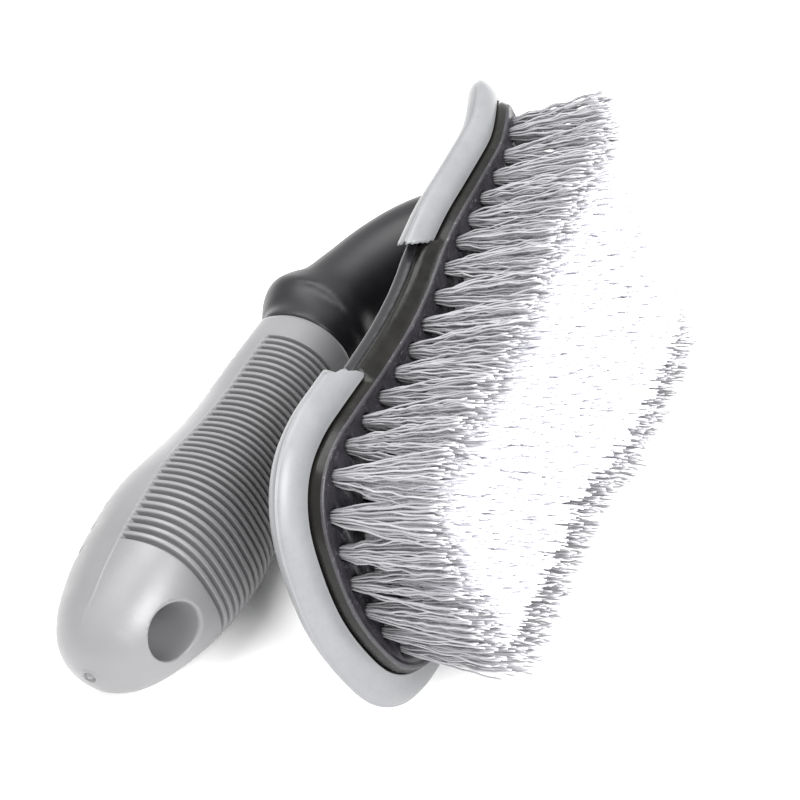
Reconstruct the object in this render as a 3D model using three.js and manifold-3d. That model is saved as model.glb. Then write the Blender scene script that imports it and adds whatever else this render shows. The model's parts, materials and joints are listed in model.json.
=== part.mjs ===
// Hand-held wheel brush lying on its side. Millimetres, +Z up.
// It is drawn upright first: X runs forward from the hanging end to the toe of the head,
// Z rises from the bristle face (z = 0) to the handle, Y runs across. The whole brush is
// then laid on its right side, on the two bumpers and the grip.
import * as THREE from 'three';
import Module from 'manifold-3d';

const wasm = await Module();
wasm.setup();
const { Manifold, Mesh: SolidMesh } = wasm;

// ---- head ----
// Half outline of the outer tuft ring, from the toe to the heel: [x, half width].
const RING = [
  [79.3, 0], [79.1, 18], [78.2, 31], [76.4, 35.7], [73.3, 37.7], [68.5, 38.0], [57, 36.6], [40, 35.8],
  [24, 35.2], [13, 33.6], [1, 30.6], [-14, 28.9], [-29.8, 28.9], [-32.8, 29.0], [-45, 29.7], [-56, 29.8], [-63, 27.8],
  [-68, 22.6], [-71.3, 13], [-73, 0],
];
const RING_STEPS = 2;          // points per interval of that outline
const KICK_START = 53;         // where the toe starts to curl away from the bristles
const KICK_CURVE = 0.0105;     // mm of rise per mm squared
const KICK_END = 78;           // the curl runs on straight from here
const BLOCK_TOP = 4.9;         // parting plane of the bristle block and the back shell
const SHELL_BASE = 5.2;
const SHELL_TOP = 11.2;
const SEAT = 6.3;              // block and shell edge under the bumpers, outside the tuft ring
const BARE = 8.5;              // the same edge at the bare waist
const LIP = 5.2;               // rim round the bristle face
const WAIST_FRONT = 11;        // bare waist, from here
const WAIST_REAR = -31.2;      // to here
const WAIST_BLEND = 2.4;

// ---- bumpers ----
const BUMPER_GAP = 0.35;
const BUMPER_LOW = 2.5;        // bristle-side edge
const BUMPER_SEAM = 5.9;       // height of the widest line
const BUMPER_TOP = 11.9;
const BUMPER_OUT_FRONT = 13.2; // reach outside the tuft ring
const BUMPER_OUT_REAR = 14.8;
const FRONT_END = [18.5, 10.2]; // x of the front bumper's waist end, at its inner and its outer line
const REAR_END = [-33.4, -42];

// ---- handle ----
const GRIP_AXIS_Z = 67;        // at the neck
const GRIP_DROP = 1.1;         // the axis ends this much lower
const GRIP_DROP_FROM = 12;
const GRIP_DROP_RUN = 62;
const GRIP_REAR = -103.7;
const GRIP_FRONT = 19.6;
const GRIP_RADII = [           // [x, half width]
  [-103.7, 0], [-102.6, 6.0], [-100.6, 9.6], [-97.5, 12.6], [-93, 15.2], [-87, 17.3], [-80, 19.0],
  [-70, 20.5], [-58, 21.4], [-50, 21.0], [-40, 19.4], [-28, 17.3], [-16, 16.2], [0, 15.75], [19.6, 15.4],
];
const GRIP_TALL = 1.05;        // section height over width
const GRIP_SQUARE = 2.6;       // the finger side's section is squarer than an ellipse (2)
const GRIP_SQUARE_RUN = 40;    // reached this far behind the collar
const TIP_ROUND = [-96, -70];  // the finger side is rounder again towards the tip
const PALM_FLAT = 0.74;        // share of the palm side's height left at the collar
const PALM_SQUARE = 3;         // section of the flattened palm side
const PALM_RUN = 40;           // the flattening dies out this far behind the collar
const RIB_FIRST = 9.9;
const RIB_LAST = -74.2;
const RIB_COUNT = 35;          // grooves between the ribs, on the finger side only
const RIB_DEPTH = 1.5;
const CORE_CLEAR = 0.3;
const CORE_REAR = -76.5;
const CORE = [[20.0, 9], [-20, 11.2], [-55, 13], [-72, 11.5], [CORE_REAR, 8.5]];
const HANG_X = -87.4;
const HANG_R = 7.4;

// ---- neck: [x, z, half height in the plane of bending, half width, direction where stated,
// share of the half height kept on the palm side where that side is flattened] ----
const NECK = [
  [73.0, 13.4, 11.8, 17, [-0.42, 1]], [74.0, 18.5, 10.8, 14.5, [-0.3, 1]], [75.5, 25.3, 11.6, 13.9],
  [76, 33.3, 12.8, 14.1], [74.5, 42.3, 14.2, 14.7], [69, 51, 14.4, 14.8], [60, 58.2, 14.2, 14.7],
  [50, 62.7, 14.3, 14.9], [42, 65.6, 15.2, 15.6], [38, 66.6, 18.2, 16.6, null, 0.93],
  [34.5, 69.4, 18, 17.9, null, 0.94], [31, 68.4, 16, 16.8, null, 0.95], [28, 67.3, 16, 15.6, null, 0.96],
  [25, 66.8, 16, 15, [-1, 0], 0.9], [22.5, 66.9, 15.4, 15.3, [-1, 0], 0.8], [20.2, 67.1, 15.6, 15.2, [-1, 0], 0.77],
];

// ---- bristles ----
const TUFT_PITCH = 9.32;
const TUFT_ROOT_R = 2.1;
const TUFT_TIP_R = 4.1;
const TUFT_LONG = 30.7;
const TUFT_SPLAY = 0.9;
const TUFT_TRIM = 0.35;        // share of the toe's rise by which the tufts there are shorter
const TUFT_SIDES = 8;
const FIELD_ROWS = [-25.4, -17.1, -8.6, 0, 8.6, 17.1, 25.4];
const FIELD_ROOT = 2.4;        // half width of a row of inner tufts at the block
const FIELD_TIP = 3.9;
const FIELD_MARGIN = 8.9;      // from the outer ring to the nearest inner row
const CLEAR = 0.3;             // gap between neighbouring pieces

// ---- rest pose ----
const REST_ROLL = THREE.MathUtils.degToRad(-110.232);
const REST_PITCH = THREE.MathUtils.degToRad(-3.385);

const COLOURS = {
  black: ['moulded_black', 0x1d1b20, 0.45],
  plate: ['bristle_block_black', 0x2a282d, 0.6],
  grip: ['grip_rubber_grey', 0x9b9a9c, 0.75],
  bumper: ['bumper_rubber_grey', 0xaeb0b5, 0.6],
  greyHair: ['bristle_grey', 0x9a999f, 0.7],
  whiteHair: ['bristle_white', 0xf2f2f7, 0.7],
};

const brush = new THREE.Group();

function add(name, geometry, look) {
  const [slot, colour, roughness] = COLOURS[look];
  const material = new THREE.MeshStandardMaterial({ color: colour, roughness });
  material.name = slot;
  const mesh = new THREE.Mesh(geometry, material);
  mesh.name = name;
  brush.add(mesh);
}

// A closed geometry from points and triangles, turned to face out.
function closed(points, triangles) {
  let volume = 0;
  const [a, b, c] = [new THREE.Vector3(), new THREE.Vector3(), new THREE.Vector3()];
  for (const [i, j, k] of triangles) {
    a.fromArray(points[i]); b.fromArray(points[j]); c.fromArray(points[k]);
    volume += a.dot(b.cross(c));
  }
  const index = triangles.flatMap(([i, j, k]) => (volume > 0 ? [i, j, k] : [i, k, j]));
  const g = new THREE.BufferGeometry();
  g.setAttribute('position', new THREE.Float32BufferAttribute(points.flat(), 3));
  g.setIndex(index);
  return g;
}

// Rings of equal length joined into a closed skin. 'ladder' ends join mirrored points of a
// ring that starts on the centreline, 'fan' ends meet at a middle point.
function loft(rings, ends = 'fan') {
  const n = rings[0].length;
  const points = rings.flat();
  const tris = [];
  for (let r = 0; r + 1 < rings.length; r++)
    for (let i = 0; i < n; i++) {
      const j = (i + 1) % n, p = r * n, q = p + n;
      tris.push([p + i, p + j, q + j], [p + i, q + j, q + i]);
    }
  const cap = (start, turn) => {
    const face = [];
    if (ends === 'ladder')
      for (let i = 0; i < n / 2; i++) {
        const a = start + i, b = start + i + 1, c = start + ((n - i - 1) % n), d = start + ((n - i) % n);
        if (i > 0) face.push([a, d, c]);
        if (i + 1 < n / 2) face.push([a, c, b]);
      }
    else {
      const middle = [0, 1, 2].map((k) => {
        let sum = 0;
        for (let i = 0; i < n; i++) sum += points[start + i][k];
        return sum / n;
      });
      points.push(middle);
      for (let i = 0; i < n; i++) face.push([points.length - 1, start + ((i + 1) % n), start + i]);
    }
    tris.push(...(turn ? face.map(([i, j, k]) => [i, k, j]) : face));
  };
  cap(0, false);
  cap((rings.length - 1) * n, true);
  return closed(points, tris);
}

const toSolid = (g) => new Manifold(new SolidMesh({
  numProp: 3,
  vertProperties: new Float32Array(g.getAttribute('position').array),
  triVerts: new Uint32Array(g.index.array),
}));

function toGeometry(solid) {
  const m = solid.getMesh();
  const flat = [];
  for (let i = 0; i < m.numVert; i++)
    for (let k = 0; k < 3; k++) flat.push(m.vertProperties[i * m.numProp + k]);
  const g = new THREE.BufferGeometry();
  g.setAttribute('position', new THREE.Float32BufferAttribute(flat, 3));
  g.setIndex([...m.triVerts]);
  return g;
}

const clamp01 = (t) => Math.min(1, Math.max(0, t));
const smooth = (t) => { const s = clamp01(t); return s * s * (3 - 2 * s); };

function lift(x) {
  const run = Math.max(0, Math.min(x, KICK_END) - KICK_START);
  const beyond = Math.max(0, x - KICK_END);
  return KICK_CURVE * run * run + 2 * KICK_CURVE * (KICK_END - KICK_START) * beyond;
}
const slope = (x) => 2 * KICK_CURVE * Math.max(0, Math.min(x, KICK_END) - KICK_START);
const bare = (x) => smooth((WAIST_FRONT - x) / WAIST_BLEND + 0.5) * smooth((x - WAIST_REAR) / WAIST_BLEND + 0.5);

// The tuft ring as a closed curve, with its outward normals.
function ringPoints(steps) {
  const half = RING.map(([x, w]) => new THREE.Vector3(x, -w, 0));
  const other = RING.slice(1, -1).reverse().map(([x, w]) => new THREE.Vector3(x, w, 0));
  const curve = new THREE.CatmullRomCurve3([...half, ...other], true, 'centripetal');
  const count = (half.length + other.length) * steps;
  const out = [];
  for (let i = 0; i < count; i++) {
    const p = curve.getPoint(i / count);
    const t = curve.getTangent(i / count);
    out.push({ x: p.x, y: p.y, nx: -t.y, ny: t.x });
  }
  if (out[0].nx < 0) for (const p of out) { p.nx *= -1; p.ny *= -1; }
  return out;
}
const ring = ringPoints(RING_STEPS);
const at = (p, out, z) => [p.x + p.nx * out, p.y + p.ny * out, z + lift(p.x + p.nx * out)];
const level = (reach, z) => ring.map((p) => at(p, typeof reach === 'function' ? reach(p) : reach, z));

// ---- bristle block and back shell ----
const edge = (waistReach) => (p) => SEAT + (waistReach - SEAT) * bare(p.x);

function bristleBlock() {
  return loft([
    level(LIP - 1.2, 0),
    level(LIP - 0.6, -0.8),
    level(LIP + 0.1, -0.7),
    level(edge(7.6), BUMPER_LOW - 0.1),
    level(edge(BARE), BUMPER_LOW + 1.0),
    level(edge(BARE), BLOCK_TOP),
  ], 'ladder');
}

const tube = (stations, sides) => {
  const path = stations.map(([x, z]) => new THREE.Vector2(x, z));
  return stations.map(([x, z, tall, wide, along, kept = 1], i) => {
    const before = path[Math.max(0, i - 1)], after = path[Math.min(path.length - 1, i + 1)];
    const d = (along ? new THREE.Vector2(...along) : after.clone().sub(before)).normalize();
    return Array.from({ length: sides }, (_, k) => {
      const a = (2 * Math.PI * k) / sides;
      const palm = Math.sin(a) < 0 ? kept : 1;
      const power = 2 / (2 + (PALM_SQUARE - 2) * Math.min((1 - palm) / (1 - PALM_FLAT), 1));
      const bend = (v) => Math.sign(v) * Math.abs(v) ** power;
      const up = tall * palm * bend(Math.sin(a));
      return [x - d.y * up, -wide * bend(Math.cos(a)), z + d.x * up];
    });
  });
};

function body() {
  const shell = loft([
    level(edge(8.3), SHELL_BASE),
    level(edge(8.7), 7.2),
    level(edge(8.5), 9.0),
    level((p) => 5.9 + 0.9 * bare(p.x), 10.3),
    level(2.5, SHELL_TOP),
  ], 'ladder');
  const core = CORE.map(([x, r]) => [x, GRIP_AXIS_Z, r, r]);
  const arm = loft(tube([...NECK, ...core], 24));
  return toGeometry(toSolid(shell).add(toSolid(arm)));
}

// ---- bumpers ----
// The lines of a bumper's section: [share of the reach outside its inner wall, height], from
// the bristle-side inner edge round the outside and back.
const BUMPER_LINES = [
  [0, BUMPER_LOW], [0.32, BUMPER_LOW - 0.1], [0.7, BUMPER_LOW + 0.9], [0.93, BUMPER_LOW + 2.2],
  [1, BUMPER_SEAM], [0.93, 8.9], [0.55, BUMPER_TOP - 0.9], [0, BUMPER_TOP - 0.4], [0, 7.2],
];

function bumper(front) {
  const dense = ringPoints(RING_STEPS * 2);
  const half = dense.length / 2;
  const inner = SEAT + BUMPER_GAP;
  const out = front ? BUMPER_OUT_FRONT : BUMPER_OUT_REAR;
  const [innerX, outerX] = front ? FRONT_END : REAR_END;
  const reach = (share) => inner + (out - inner) * share;
  // The ring's place at a given x, on the side where y has the given sign.
  const placeAt = (x, side) => {
    for (let i = 2; i < half; i++) {
      const p = dense[i], q = dense[i + 1];
      if (p.x >= x && q.x < x) {
        const t = (p.x - x) / (p.x - q.x);
        const mix = (k) => p[k] + (q[k] - p[k]) * t;
        return { x, y: -side * mix('y'), nx: mix('nx'), ny: -side * mix('ny') };
      }
    }
    return dense[0];
  };
  const endRing = (side) => BUMPER_LINES.map(([share, z]) =>
    at(placeAt(innerX + (outerX - innerX) * share, side), reach(share), z));
  const order = front ? dense.map((_, i) => dense[(i + half) % dense.length]) : dense;
  const kept = order.filter((p) => (front ? p.x > innerX + 1.5 : p.x < outerX - 1.5));
  const rings = kept.map((p) => BUMPER_LINES.map(([share, z]) => at(p, reach(share), z)));
  const firstSide = kept[0].y < 0 ? -1 : 1;
  return loft([endRing(firstSide), ...rings, endRing(-firstSide)]);
}

// ---- grip ----
function radiusAt(x) {
  for (let i = 0; i + 1 < GRIP_RADII.length; i++) {
    const [x0, r0] = GRIP_RADII[i], [x1, r1] = GRIP_RADII[i + 1];
    if (x <= x1) {
      const t = clamp01((x - x0) / (x1 - x0));
      return r0 + (r1 - r0) * t;
    }
  }
  return GRIP_RADII[GRIP_RADII.length - 1][1];
}

const gripAxis = (x) => GRIP_AXIS_Z - GRIP_DROP * smooth((GRIP_DROP_FROM - x) / GRIP_DROP_RUN);

function grip() {
  const sides = 24;
  const pitch = (RIB_FIRST - RIB_LAST) / (RIB_COUNT - 1);
  const stops = GRIP_RADII.slice(1).map(([x]) => [x, 0]).filter(([x]) => x < RIB_LAST - 1 || x > RIB_FIRST + 1);
  for (let k = 0; k < RIB_COUNT; k++) {
    stops.push([RIB_LAST + k * pitch, RIB_DEPTH]);
    if (k + 1 < RIB_COUNT) stops.push([RIB_LAST + (k + 0.5) * pitch, 0]);
  }
  stops.push([RIB_LAST - pitch / 2, 0], [RIB_FIRST + pitch / 2, 0]);
  stops.sort((a, b) => a[0] - b[0]);
  const rings = stops.map(([x, depth]) => Array.from({ length: sides }, (_, k) => {
    const a = (2 * Math.PI * (k + 0.5)) / sides;
    const r = radiusAt(x) - (Math.sin(a) < 0 ? depth : 0);
    const square = 2 + (GRIP_SQUARE - 2) * clamp01((GRIP_FRONT - x) / GRIP_SQUARE_RUN)
      * clamp01((x - TIP_ROUND[0]) / (TIP_ROUND[1] - TIP_ROUND[0]));
    const flat = smooth((x - GRIP_FRONT + PALM_RUN) / PALM_RUN);
    const palm = Math.sin(a) < 0 ? 1 : 1 - (1 - PALM_FLAT) * flat;
    const bend = (v) => Math.sign(v) * Math.abs(v) ** (2 / (Math.sin(a) < 0 ? square : 2 + (PALM_SQUARE - 2) * flat));
    return [x, -r * bend(Math.cos(a)), gripAxis(x) + r * GRIP_TALL * palm * bend(Math.sin(a))];
  }));
  const outside = toSolid(loft(rings));
  const hollow = CORE.map(([x, r], i) => [
    i === 0 ? GRIP_FRONT + 1 : x - (i === CORE.length - 1 ? CORE_CLEAR : 0),
    GRIP_AXIS_Z, r + CORE_CLEAR, r + CORE_CLEAR,
  ]);
  const hole = Manifold.cylinder(80, HANG_R, HANG_R, 24, true).translate([HANG_X, 0, GRIP_AXIS_Z]);
  return toGeometry(outside.subtract(toSolid(loft(tube(hollow, 24)))).subtract(hole));
}

// ---- bristles ----
// A direction that leans a quarter as much as the face below it does.
const lean = (x) => Math.atan(slope(x)) / 4;
const tuftLong = (x) => TUFT_LONG - TUFT_TRIM * lift(x);

function greyTuft(p) {
  const tilt = lean(p.x);
  const place = (r, down, out) => Array.from({ length: TUFT_SIDES }, (_, k) => {
    const a = (2 * Math.PI * k) / TUFT_SIDES;
    const dx = r * Math.cos(a), dy = r * Math.sin(a);
    const face = CLEAR + 0.05 - lift(p.x) - slope(p.x) * dx;
    const z = down === 0 ? -face : -down * Math.cos(tilt) + lift(p.x);
    return [p.x + dx + p.nx * out + down * Math.sin(tilt), p.y + dy + p.ny * out, z];
  });
  return loft([
    place(TUFT_ROOT_R, 0, 0),
    place(TUFT_ROOT_R + 0.75 * (TUFT_TIP_R - TUFT_ROOT_R), tuftLong(p.x) * 0.55, TUFT_SPLAY * 0.5),
    place(TUFT_TIP_R, tuftLong(p.x), TUFT_SPLAY),
  ]);
}

function greyRing() {
  const fine = ringPoints(20);
  const lengths = fine.map((p, i) => {
    const q = fine[(i + 1) % fine.length];
    return Math.hypot(q.x - p.x, q.y - p.y);
  });
  const around = lengths.reduce((a, b) => a + b, 0);
  const count = Math.round(around / TUFT_PITCH);
  let along = 0, next = 0, made = 0;
  for (let i = 0; i < fine.length && made < count; i++) {
    if (along >= next - 1e-6) {
      made++;
      add('grey_tuft_' + String(made).padStart(2, '0'), greyTuft(fine[i]), 'greyHair');
      next = (around * made) / count;
    }
    along += lengths[i];
  }
}

// Half width of the ring at x, by straight lines between its stated points.
function ringHalfWidth(x) {
  for (let i = 3; i + 1 < RING.length; i++) {
    const [x0, w0] = RING[i], [x1, w1] = RING[i + 1];
    if (x <= x0 && x >= x1) return w1 + ((w0 - w1) * (x - x1)) / (x0 - x1);
  }
  return x > 0 ? RING[3][1] : 0;
}

function fieldRow(y) {
  const xs = [];
  for (let x = RING[RING.length - 1][0] + FIELD_MARGIN; x <= RING[0][0] - FIELD_MARGIN; x += 0.5)
    if (ringHalfWidth(x) - Math.abs(y) >= FIELD_MARGIN - 0.4) xs.push(x);
  const [rear, front] = [xs[0], xs[xs.length - 1]];
  const spread = FIELD_TIP - FIELD_ROOT;
  const stops = [rear, rear + (Math.min(KICK_START, front) - rear) / 2, KICK_START, 60, 67, front]
    .filter((x, i, all) => x <= front && all.indexOf(x) === i);
  const rings = stops.map((x, i) => {
    const end = i === 0 ? -1 : i === stops.length - 1 ? 1 : 0;
    const tilt = lean(x);
    const long = tuftLong(x);
    const tipX = x + long * Math.sin(tilt) + end * spread;
    const tipZ = lift(x) - long * Math.cos(tilt);
    const midX = x + long * 0.5 * Math.sin(tilt) + end * spread * 0.75;
    const midZ = lift(x) - long * 0.5 * Math.cos(tilt);
    const mid = FIELD_ROOT + 0.75 * spread;
    const base = lift(x) - CLEAR - 0.05;
    return [
      [x, y - FIELD_ROOT, base], [midX, y - mid, midZ], [tipX, y - FIELD_TIP, tipZ],
      [tipX, y + FIELD_TIP, tipZ], [midX, y + mid, midZ], [x, y + FIELD_ROOT, base],
    ];
  });
  return loft(rings);
}

add('body', body(), 'black');
add('bristle_block', bristleBlock(), 'plate');
add('grip', grip(), 'grip');
add('bumper_front', bumper(true), 'bumper');
add('bumper_rear', bumper(false), 'bumper');
greyRing();
FIELD_ROWS.forEach((y, i) => add('white_row_' + (i + 1), fieldRow(y), 'whiteHair'));

// Laid on its side, then moved so the middle of its footprint is at the origin and it touches z = 0.
brush.rotation.set(REST_ROLL, REST_PITCH, 0, 'YXZ');
const root = new THREE.Group();
root.add(brush);
root.updateMatrixWorld(true);
const box = new THREE.Box3().setFromObject(brush, true);
brush.position.set(-(box.min.x + box.max.x) / 2, -(box.min.y + box.max.y) / 2, -box.min.z);

export default root;
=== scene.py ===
"""Looks of the wheel brush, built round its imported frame.

Shapes are worked out in millimetres on the upright brush: X runs forward from the hanging end
to the toe, Z rises from the bristle face to the handle, Y runs across. to_row() lays them down.
"""

import json
import math

import bmesh
import bpy
import numpy as np
from mathutils import Matrix, Vector


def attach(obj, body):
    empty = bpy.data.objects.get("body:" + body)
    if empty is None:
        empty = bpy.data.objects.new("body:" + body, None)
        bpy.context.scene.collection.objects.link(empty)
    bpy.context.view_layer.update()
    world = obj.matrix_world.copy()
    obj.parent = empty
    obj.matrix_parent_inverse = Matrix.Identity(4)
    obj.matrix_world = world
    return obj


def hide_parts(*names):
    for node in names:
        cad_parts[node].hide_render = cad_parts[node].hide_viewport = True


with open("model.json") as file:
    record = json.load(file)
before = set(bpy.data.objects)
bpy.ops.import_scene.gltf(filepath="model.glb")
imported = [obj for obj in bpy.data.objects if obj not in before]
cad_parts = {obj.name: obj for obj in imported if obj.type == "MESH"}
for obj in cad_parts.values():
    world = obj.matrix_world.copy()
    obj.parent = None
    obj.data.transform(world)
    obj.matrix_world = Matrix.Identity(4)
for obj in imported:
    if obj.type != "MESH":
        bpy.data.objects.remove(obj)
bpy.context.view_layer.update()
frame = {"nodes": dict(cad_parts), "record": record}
SEED = 20

# ---- how the upright brush lies in the row frame ----
REST_ROLL = math.radians(-110.232)
REST_PITCH = math.radians(-3.385)
BACK_MOUNT_UPRIGHT = (5.0, -8.0, 11.2)
MM = 1000.0                 # millimetres in a metre

# ---- head ----
RING = [
    (79.3, 0), (79.1, 18), (78.2, 31), (76.4, 35.7), (73.3, 37.7), (68.5, 38.0), (57, 36.6),
    (40, 35.8), (24, 35.2), (13, 33.6), (1, 30.6), (-14, 28.9), (-29.8, 28.9), (-32.8, 29.0),
    (-45, 29.7), (-56, 29.8), (-63, 27.8), (-68, 22.6), (-71.3, 13), (-73, 0),
]
RING_DETAIL = 14
KICK_START, KICK_END, KICK_CURVE = 53.0, 78.0, 0.0105
SEAT, LIP = 6.3, 5.2
WAIST_FRONT, WAIST_REAR, WAIST_BLEND = 15.5, -34.5, 2.4
BLOCK_TOP = 4.9
LIP_SECTION = [             # reach outside the lip's line, height over the bristle face
    (-2.0, 0.0), (-1.7, -0.06), (-1.35, -0.3), (-1.0, -0.65), (-0.6, -0.82), (-0.15, -0.78),
    (0.12, -0.5), (0.25, -0.1),
]
WALL_SECTION = [            # reach at the bare waist, height: the block's side wall
    (6.6, 1.1), (7.7, 2.4), (8.4, 3.3), (8.5, 3.8), (8.56, 4.55), (8.48, 4.8), (8.25, BLOCK_TOP),
]
BLOCK_TOP_REACH = 4.0
SHELL_SECTION = [           # reach at the bumpers, reach at the bare waist, height: the back shell
    (SEAT, 8.1, 5.2), (SEAT, 8.35, 5.5), (SEAT, 8.45, 7.2), (SEAT, 8.4, 8.6), (SEAT, 8.15, 9.2),
    (6.2, 7.4, 10.0), (4.6, 5.5, 10.8), (2.5, 2.5, 11.2),
]
BODY_VOXEL, BODY_VOXEL_QUICK = 0.62, 0.9
BODY_EASE, BODY_EASE_ROUNDS = 0.5, 24

# ---- bumpers ----
BUMPER_INNER = 6.65
BUMPER_OUT = {"front": 13.2, "rear": 14.8}
BUMPER_ENDS = {"front": (17.5, 10.2), "rear": (-33.4, -43.0)}
END_CURVE = {"front": 0.45, "rear": 1.8}   # power by which an end runs from its inner to its outer x
BUMPER_SECTION = [          # share of the reach outside the inner wall, height
    (0.0, 3.4), (0.0, 2.9), (0.015, 2.55), (0.05, 2.38), (0.1, 2.42), (0.2, 2.36), (0.4, 2.5),
    (0.6, 2.95), (0.78, 3.7), (0.9, 4.5), (0.965, 5.2), (0.98, 5.5), (1.02, 5.66), (1.04, 5.86),
    (1.0, 6.06), (0.95, 6.2), (0.93, 6.8), (0.88, 7.8), (0.78, 8.9), (0.64, 9.9),
    (0.45, 10.8), (0.2, 11.4), (0.03, 11.45), (0.0, 11.2), (0.0, 7.2),
]
END_JAG = 0.7
END_STEPS = (0.35, 1.1)     # how far inside its end the last two rings of a bumper lie
END_CLEAR = {"front": 2.5, "rear": -1.5}   # plain rings start this far beyond an end's inner or outer x

# ---- handle ----
GRIP_AXIS_Z = 67.0
GRIP_DROP, GRIP_DROP_FROM, GRIP_DROP_RUN = 1.1, 12.0, 62.0
GRIP_RADII = [              # x, half width
    (-103.7, 0), (-102.6, 6.0), (-100.6, 9.6), (-97.5, 12.6), (-93, 15.2), (-87, 17.3),
    (-80, 19.0), (-70, 20.5), (-58, 21.4), (-50, 21.0), (-40, 19.4), (-28, 17.3),
    (-16, 16.2), (0, 15.75), (19.6, 15.4),
]
GRIP_TALL = 1.05
GRIP_SQUARE, GRIP_SQUARE_RUN = 2.6, 40.0
PALM_FLAT, PALM_SQUARE, PALM_RUN = 0.74, 3.0, 40.0
TIP_ROUND = (-96.0, -70.0)  # the finger side is rounder towards the tip
RIB_FIRST, RIB_LAST, RIB_COUNT = 9.9, -74.2, 35
RIB_DEPTH = 1.9
GROOVE_HALF, GROOVE_EDGE = 0.8, 0.32
DIMPLE_REAR, DIMPLE_PITCH, DIMPLE_COUNT = -76.0, 7.3, 13
DIMPLE_DEPTH, DIMPLE_HALF, DIMPLE_REACH = 1.1, 2.1, math.radians(66)
SEAM_HIGH, SEAM_HALF = 0.2, 0.014
SEAM_DIP = 2.2              # the moulding line sinks this far at the swell
HANG_X, HANG_R = -87.4, 7.4
HANG_RIM = [                # reach outside the hanging hole, height over the skin
    (0, -1.3), (0.03, -0.8), (0.14, -0.4), (0.34, -0.14), (0.62, -0.01), (0.95, 0.12), (1.2, 2.5),
]
HANG_SIDES = 72
GATE = [                    # radius, sink below the skin: the moulding gate's mark at the tip
    (0.45, -0.35), (0.7, 0.05), (0.95, 0.0), (1.15, 0.4), (1.5, 0.45), (1.75, -0.3),
    (2.1, -0.34), (2.5, 0.04), (2.9, 0.0),
]
COLLAR_END = ((0.992, 0.1), (0.975, 0.16), (0.9, 0.16))   # share of the section, run ahead
RIB_CROWN = 0.13
RIB_STATIONS = (0.0, 0.3, 0.46, 0.54, 0.62, 0.7, 0.8, 0.95)   # from a groove's middle
SEAM_DIP_FROM, SEAM_DIP_RUN, SEAM_DIP_TIP, SEAM_DIP_TIP_RUN = -35.0, 30.0, -103.0, 14.0
SEAM_START, SEAM_FADE = -99.0, 3.0
GATE_POINTS = 40            # how much of the outline, from the tip, the gate's mark is read from
UPPER_ANGLES = [0, 0.6, 1.4, 2.4, 4, 6.5, *np.linspace(9.5, 90, 27)]
LOWER_ANGLES = [0.1, 0.4, 0.8, 1.3, 1.9, 2.5, 3.2, 3.9, 4.6, 5.3, 6.0, 6.7, 7.4, 8.2, 9.2, 10.5,
                *np.linspace(12, 90, 27)]
NECK_SIDES, NECK_FINE, NECK_REACH, NECK_WEIGHT = 72, 7, 12.0, 10.0
NECK_LIP = ((0.985, 0.22), (0.9, 0.3), (0.86, 0.5), (0.86, 3.0))   # share of the section, run back

NECK = [                    # x, z, half height, half width, direction, share kept on the palm side
    (73.0, 13.4, 11.8, 17, (-0.42, 1), 1), (74.0, 18.5, 10.8, 14.5, (-0.3, 1), 1),
    (75.5, 25.3, 11.6, 13.9, None, 1), (76, 33.3, 12.8, 14.1, None, 1),
    (74.5, 42.3, 14.2, 14.7, None, 1), (69, 51, 14.4, 14.8, None, 1),
    (60, 58.2, 14.2, 14.7, None, 1), (50, 62.7, 14.3, 14.9, None, 1),
    (42, 65.6, 15.2, 15.6, None, 1), (38, 66.6, 18.2, 16.6, None, 0.93),
    (34.5, 69.4, 18, 17.9, None, 0.94), (31, 68.4, 16, 16.8, None, 0.95),
    (28, 67.3, 16, 15.6, None, 0.96), (25, 66.8, 16, 15, (-1, 0), 0.9),
    (22.5, 66.9, 15.4, 15.3, (-1, 0), 0.8), (20.5, 67.1, 15.6, 15.2, (-1, 0), 0.77),
]

# ---- bristles ----
TUFT_PITCH = 9.32
TUFT_LONG = 30.7
TUFT_ROOT = 1.5
TUFT_SPLAY = 0.5
TUFT_TRIM = 0.35
TUFT_OUT_MOST, TUFT_TOE_PULL = 3.6, 3.2   # how far tips lean out, and how much less at the toe
WELL_R, WELL_DEEP, WELL_CLEAR, WELL_SIDES = 2.15, 2.4, 3.0, 24
FIELD_ROWS = (-25.4, -17.1, -8.6, 0.0, 8.6, 17.1, 25.4)
FIELD_PITCH = 8.3
FIELD_MARGIN = 8.9
FIELD_EDGE, FIELD_EDGE_ROOM = 9.4, 30.2   # the outermost rows bend in with the waist
TUFT_REACH, FIELD_REACH = 5.8, 5.7         # how wide a tuft has spread at its tips
TUFT_SCATTER, TUFT_ROOT_SCATTER, TUFT_LONG_SCATTER = 0.8, 0.08, 0.4
TUFT_SUNK = 1.2             # the filaments start this deep in their well
GOLDEN_ANGLE = 2.39996
STRAND_R = 0.26
STRAND_SIDES = 5
STRAND_WAVE, STRAND_SWING, STRAND_BOW = (8.0, 12.5), (0.12, 0.42), 0.9
STRAND_FLARE = 1.5
GREY_PIECES, GREY_PER_PIECE = 3, 15
GREY_STRANDS, GREY_STRANDS_QUICK, GREY_STEPS = 36, 16, 18
WHITE_STRANDS, WHITE_STRANDS_QUICK, WHITE_STEPS = 60, 18, 11

# ---- camera, where the photograph was taken from, seen from the upright brush ----
CAMERA_AT = (-311.31, -265.43, -238.55)
CAMERA_FORWARD = (0.6399, 0.547, 0.5397)
CAMERA_RIGHT = (0.3971, 0.366, -0.8417)
CAMERA_LENS = 80.57

# ---- studio, in metres and watts ----
FLOOR_SIDES, FLOOR_RADIUS = 96, 4.0
WORLD_STRENGTH = 1.25
LAMPS = [                   # name, place, size, power
    ("key", (-0.5, -0.9, 1.1), 0.9, 36),
    ("top", (0.2, 0.4, 1.4), 1.2, 23),
]
LAMP_TARGET = (0, 0, 0.05)


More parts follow.
